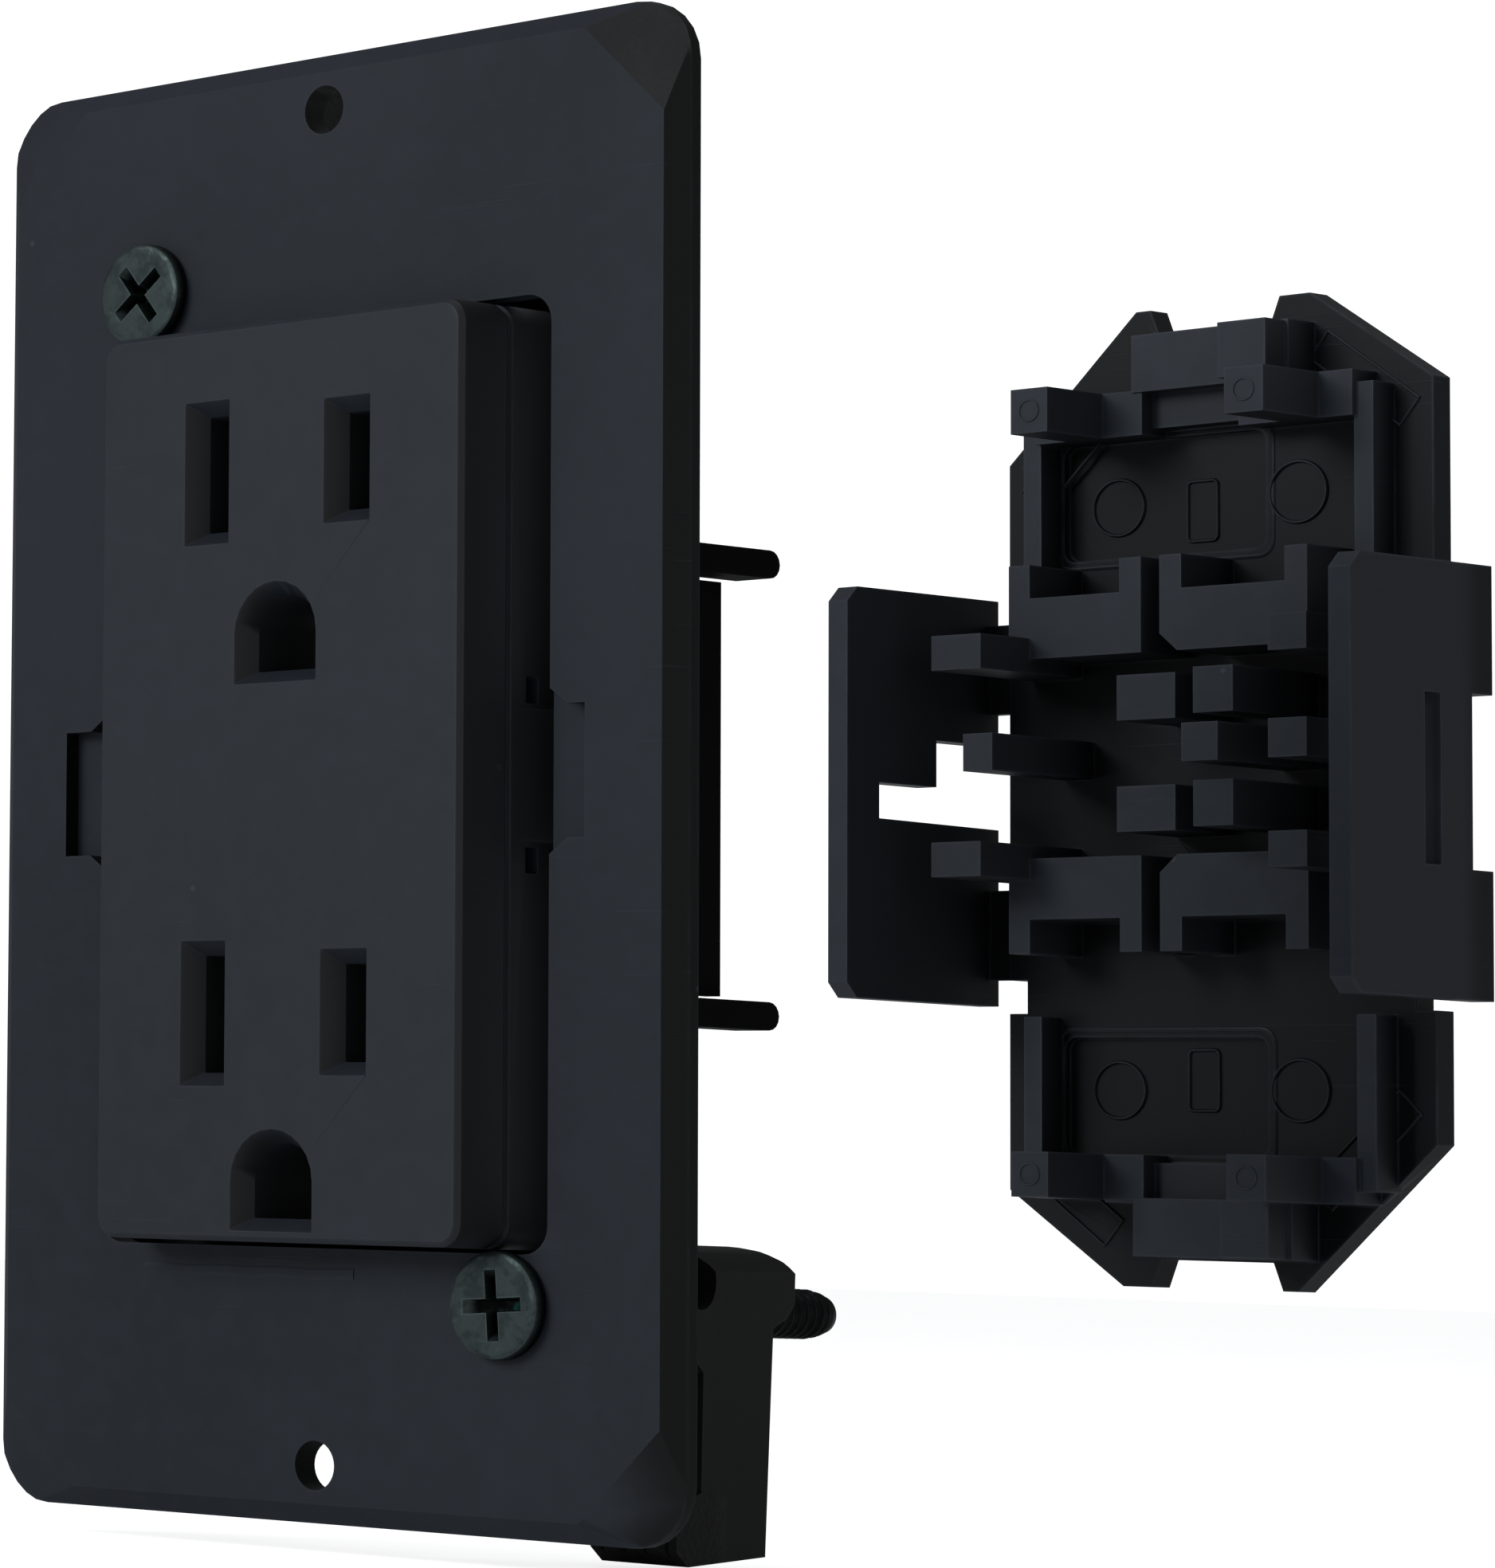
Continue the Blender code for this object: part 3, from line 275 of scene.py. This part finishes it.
# ------------------------------------------------------------------ finish of the CAD nodes
def dress(ob, mat, width, angle=32.0, segments=2):
    me = ob.data
    if "custom_normal" in me.attributes:
        me.attributes.remove(me.attributes["custom_normal"])
    for p in me.polygons:
        p.use_smooth = True
    me.materials.clear()
    me.materials.append(mat)
    weld = ob.modifiers.new("weld", "WELD")
    weld.merge_threshold = 0.000002
    if width:
        bev = ob.modifiers.new("bevel", "BEVEL")
        bev.width = width
        bev.segments = segments
        bev.limit_method = "ANGLE"
        bev.angle_limit = math.radians(angle)
        bev.use_clamp_overlap = True
        bev.miter_outer = "MITER_ARC"
    wn = ob.modifiers.new("normals", "WEIGHTED_NORMAL")
    wn.keep_sharp = False
    wn.weight = 50


BEVELS = {
    "mounting_plate": (M_PLATE, 0.00022),
    "receptacle_face": (M_FACE, 0.00022),
    "rear_housing": (M_BACK, 0.00018),
    "rear_cover": (M_COVER, 0.00034),
    "wall_clamp_upper": (M_CLAMP, 0.00030),
    "wall_clamp_lower": (M_CLAMP, 0.00030),
    "clamp_screw_upper": (m_screw["upper"], 0.00010),
    "clamp_screw_lower": (m_screw["lower"], 0.00010),
}
for name, ob in NODES.items():
    if name in BEVELS:
        mat, width = BEVELS[name]
    elif name.startswith("ground") or name.startswith("screw_retainer"):
        mat, width = M_TIN, 0.00006
    else:
        mat, width = M_BRASS, 0.00006
    dress(ob, mat, width)


# ------------------------------------------------------------------ fine detail pieces
def add_mesh(name, bm, mat, body, smooth=True):
    me = bpy.data.meshes.new(name)
    bmesh.ops.recalc_face_normals(bm, faces=bm.faces)
    bm.to_mesh(me)
    bm.free()
    for p in me.polygons:
        p.use_smooth = smooth
    if smooth:
        me.set_sharp_from_angle(angle=math.radians(40))
    me.materials.append(mat)
    ob = bpy.data.objects.new(name, me)
    bpy.context.scene.collection.objects.link(ob)
    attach(ob, body)
    return ob


def bead(bm, path, half, height, closed=True, base=None, up=Vector((0, -1, 0)), sink=0.00008):
    """Low rounded bead swept along a path lying on a face whose outward direction is 'up'."""
    n = len(path)
    prof = [(-half, -sink), (-half * 0.8, height * 0.55), (-half * 0.35, height), (half * 0.35, height), (half * 0.8, height * 0.55), (half, -sink)]
    rows = []
    for i, p in enumerate(path):
        a = path[(i - 1) % n] if closed or i > 0 else path[i]
        b = path[(i + 1) % n] if closed or i < n - 1 else path[i]
        t = (b - a).normalized()
        side = t.cross(up).normalized()
        rows.append([bm.verts.new(p + side * u + up * v) for u, v in prof])
    m = len(prof)
    for i in range(n if closed else n - 1):
        r, s = rows[i], rows[(i + 1) % n]
        for k in range(m):
            bm.faces.new((r[k], r[(k + 1) % m], s[(k + 1) % m], s[k]))
    if not closed:
        bm.faces.new(rows[0])
        bm.faces.new(list(reversed(rows[-1])))


def circle_path(cx, y, cz, r, n=56):
    return [Vector((cx + r * math.cos(2 * math.pi * i / n), y, cz + r * math.sin(2 * math.pi * i / n))) for i in range(n)]


def rect_path(cx, y, cz, hw, hh, r=0.0004):
    pts = []
    for sx, sz, a in ((1, 1, 0.0), (-1, 1, 0.5), (-1, -1, 1.0), (1, -1, 1.5)):
        for i in range(5):
            t = (a + 0.5 * i / 4) * math.pi
            pts.append(Vector((cx + sx * (hw - r) + r * math.cos(t), y, cz + sz * (hh - r) + r * math.sin(t))))
    return pts


# moulded marks on the cover's floor: plain rings and frames
c_lo, c_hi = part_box("rear_cover")
lift = (c_lo.z + c_hi.z) / 2
floor_y = c_hi.y - 0.0021          # front of the tray floor
deep_y = floor_y + 0.0007          # bottom of the shallow recess
bm = bmesh.new()
for s in (1, -1):
    z = lift + s * 0.0234
    bead(bm, circle_path(-0.0089, deep_y, z, 0.00225), 0.00016, 0.00022)
    bead(bm, circle_path(0.0072, floor_y, z, 0.0024), 0.00016, 0.00022)
    bead(bm, rect_path(-0.0015, deep_y, lift + s * 0.0226, 0.0013, 0.0024), 0.00016, 0.00020)
    bead(bm, rect_path(-0.0045, floor_y, lift + s * 0.0239, 0.0095, 0.0053, 0.0012), 0.00022, 0.00012)
add_mesh("cover_floor_marks", bm, M_COVER, "rear_cover")

# blank framed label panels on the tray's slanted corners
bm = bmesh.new()
for sx, sz in ((1, 1), (-1, -1), (-1, 1), (1, -1)):
    full = sx == sz
    a = Vector((sx * (0.0173 if full else 0.0172), 0, lift + sz * (0.0299 if full else 0.0252)))
    b = Vector((sx * 0.0098, 0, lift + sz * (0.0358 if full else 0.0326)))
    u = (b - a).normalized()
    inward = Vector((-u.z, 0, u.x))
    if inward.x * sx > 0:
        inward = -inward
    y = floor_y
    wdt = 0.0026
    quad = [a, b, b + inward * wdt, a + inward * wdt]
    path = []
    for i in range(4):
        p, q = quad[i], quad[(i + 1) % 4]
        for k in range(6):
            v = p.lerp(q, k / 6)
            path.append(Vector((v.x, y, v.z)))
    bead(bm, path, 0.00014, 0.00018)
add_mesh("cover_label_panels", bm, M_COVER, "rear_cover")

# ejector-pin witness rings on the strain-relief fingers' ends
bm = bmesh.new()
for sx in (1, -1):
    for sz in (1, -1):
        bead(bm, circle_path(sx * 0.00935, c_hi.y - 0.0204 + 0.0084, lift + sz * 0.0304, 0.00085, 36), 0.00009, 0.00010)
add_mesh("finger_pin_marks", bm, M_COVER, "rear_cover")

# faint flow ridge on the plate under the raised face
p_lo, p_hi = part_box("mounting_plate")
bm = bmesh.new()
bead(bm, [Vector((-0.0158 + 0.0192 * i / 24, p_lo.y, -0.0349 + 0.00005 * math.sin(i * 0.9))) for i in range(25)], 0.00045, 0.00007, closed=False, sink=0.00003)
add_mesh("plate_flow_ridge", bm, M_PLATE, "front_unit")


def thread(name, cx, cz, y0, y1, body):
    """Rolled thread of the clamp screw: a V-section ridge wound round the shank."""
    pitch, steps = 0.000794, 30
    core, crest = 0.00158, 0.00178
    turns = (y1 - y0) / pitch
    n = int(turns * steps)
    bm = bmesh.new()
    rows = []
    for i in range(n + 1):
        a = 2 * math.pi * i / steps
        y = y0 + pitch * i / steps
        fade = min(1.0, i / 25.0, (n - i) / 40.0 + 0.02)
        top = core + (crest - core) * fade
        rows.append([
            bm.verts.new((cx + r * math.cos(a), y + d, cz + r * math.sin(a)))
            for r, d in ((core - 0.00002, -0.00034), (top, -0.00007), (top, 0.00007), (core - 0.00002, 0.00034), (core - 0.00008, 0.0))
        ])
    for r, s in zip(rows, rows[1:]):
        for k in range(5):
            bm.faces.new((r[k], r[(k + 1) % 5], s[(k + 1) % 5], s[k]))
    bm.faces.new(rows[0])
    bm.faces.new(list(reversed(rows[-1])))
    return add_mesh(name, bm, M_THREAD, body)


for word in ("upper", "lower"):
    cx, cz, front = screw_centre(f"clamp_screw_{word}")
    a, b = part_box(f"clamp_screw_{word}")
    thread(f"screw_thread_{word}", cx, cz, p_hi.y + 0.0005, b.y - 0.0013, f"{word}_screw")


# ------------------------------------------------------------------ stage
def stage_mesh(name, verts, faces, mat):
    me = bpy.data.meshes.new(name)
    me.from_pydata(verts, [], faces)
    me.materials.append(mat)
    ob = bpy.data.objects.new(name, me)
    bpy.context.scene.collection.objects.link(ob)
    return ob


g = Graph("studio_floor")
g.put(g.bsdf.inputs["Base Color"], g.mix(g.ramp(g.noise(3.0, 3.0), 0.3, 0.7), (0.90, 0.90, 0.90), (0.93, 0.93, 0.93)))
g.put(g.bsdf.inputs["Roughness"], 0.85)
g.bsdf.inputs["Specular IOR Level"].default_value = 0.1
em = g.t.nodes.new("ShaderNodeEmission")
em.inputs["Color"].default_value = (1, 1, 1, 1)
lp = g.t.nodes.new("ShaderNodeLightPath")
g.link(g.math("MULTIPLY", lp.outputs["Is Camera Ray"], 0.80), em.inputs["Strength"])
add = g.t.nodes.new("ShaderNodeAddShader")
g.link(g.bsdf.outputs[0], add.inputs[0])
g.link(em.outputs[0], add.inputs[1])
g.link(add.outputs[0], g.out.inputs["Surface"])
FLOOR_Z = lo0.z - 0.0004
stage_mesh("floor", [(-6, -6, FLOOR_Z), (6, -6, FLOOR_Z), (6, 6, FLOOR_Z), (-6, 6, FLOOR_Z)], [(0, 1, 2, 3)], g.mat)

world = bpy.data.worlds.new("studio")
bpy.context.scene.world = world
world.use_nodes = True
wt = world.node_tree
wt.nodes.clear()
w_out = wt.nodes.new("ShaderNodeOutputWorld")
w_lp = wt.nodes.new("ShaderNodeLightPath")
w_mix = wt.nodes.new("ShaderNodeMixShader")
w_dim = wt.nodes.new("ShaderNodeBackground")
w_dim.inputs["Color"].default_value = (0.93, 0.96, 1.0, 1)
w_dim.inputs["Strength"].default_value = 0.19
w_white = wt.nodes.new("ShaderNodeBackground")
w_white.inputs["Color"].default_value = (1, 1, 1, 1)
w_white.inputs["Strength"].default_value = 1.15
wt.links.new(w_lp.outputs["Is Camera Ray"], w_mix.inputs[0])
wt.links.new(w_dim.outputs[0], w_mix.inputs[1])
wt.links.new(w_white.outputs[0], w_mix.inputs[2])
wt.links.new(w_mix.outputs[0], w_out.inputs["Surface"])
bpy.context.scene.view_settings.view_transform = "Standard"
bpy.context.scene.view_settings.look = "None"


def soft_light(name, at, target, size, power, colour):
    data = bpy.data.lights.new(name, "AREA")
    data.shape = "DISK"
    data.size = size
    data.energy = power
    data.color = colour
    ob = bpy.data.objects.new(name, data)
    bpy.context.scene.collection.objects.link(ob)
    ob.location = at
    ob.rotation_mode = "QUATERNION"
    ob.rotation_quaternion = (Vector(target) - Vector(at)).to_track_quat("-Z", "Y")
    return ob


soft_light("key", (-0.35, -1.05, 0.55), (0, 0.03, 0), 0.7, 5.6, (0.95, 0.98, 1.0))
soft_light("fill", (1.1, -0.35, 0.25), (0, 0.05, 0), 0.6, 0.35, (1.0, 0.96, 0.90))
soft_light("top", (0.15, 0.10, 1.1), (0, 0.05, 0), 0.6, 1.4, (0.97, 0.98, 1.0))

# ------------------------------------------------------------------ camera
YAW, PITCH, ROLL = (1.064850, -0.072764, 0.032456)
T = Vector((159.0918, 4.7558, 455.1756)) * MM
F, CX, CY = 8000.00, -2370.77, 900.30


def rotation(yaw, pitch, roll):
    c, s = math.cos, math.sin
    ry = Matrix(((c(yaw), 0, s(yaw)), (0, 1, 0), (-s(yaw), 0, c(yaw))))
    rx = Matrix(((1, 0, 0), (0, c(pitch), -s(pitch)), (0, s(pitch), c(pitch))))
    rz = Matrix(((c(roll), -s(roll), 0), (s(roll), c(roll), 0), (0, 0, 1)))
    to_view = Matrix(((1, 0, 0), (0, 0, -1), (0, 1, 0)))
    return rz @ rx @ ry @ to_view


RB = rotation(YAW, PITCH, ROLL)
cam_data = bpy.data.cameras.new("camera")
cam = bpy.data.objects.new("camera", cam_data)
bpy.context.scene.collection.objects.link(cam)
right, down, forward = RB[0].copy(), RB[1].copy(), RB[2].copy()
FACE_AHEAD = 0.0066                # the origin is the face, this far in front of the plate's rear
cam.matrix_world = Matrix.Translation(Vector((0, FACE_AHEAD, 0)) - (RB.transposed() @ T)) @ Matrix((right, -down, -forward)).transposed().to_4x4()
cam_data.sensor_width = 36.0
cam_data.sensor_fit = "AUTO"
cam_data.lens = F * 36.0 / 1968.0
cam_data.shift_x = (938.0 - CX) / 1968.0
cam_data.shift_y = (CY - 984.0) / 1968.0
cam_data.clip_start, cam_data.clip_end = 0.01, 60.0
bpy.context.scene.camera = cam
# the shift belongs to this viewpoint only: it falls to zero when the camera is moved round the object
for prop, held in (("shift_x", cam_data.shift_x), ("shift_y", cam_data.shift_y)):
    driver = cam_data.driver_add(prop).driver
    driver.type = "SCRIPTED"
    for k, letter in enumerate("xyz"):
        var = driver.variables.new()
        var.name = letter
        var.type = "TRANSFORMS"
        var.targets[0].id = cam
        var.targets[0].transform_type = "LOC_" + letter.upper()
        var.targets[0].transform_space = "WORLD_SPACE"
    home = cam.matrix_world.translation
    driver.expression = f"{held:.6f} if fabs(x - ({home.x:.5f})) + fabs(y - ({home.y:.5f})) + fabs(z - ({home.z:.5f})) < 0.001 else 0.0"
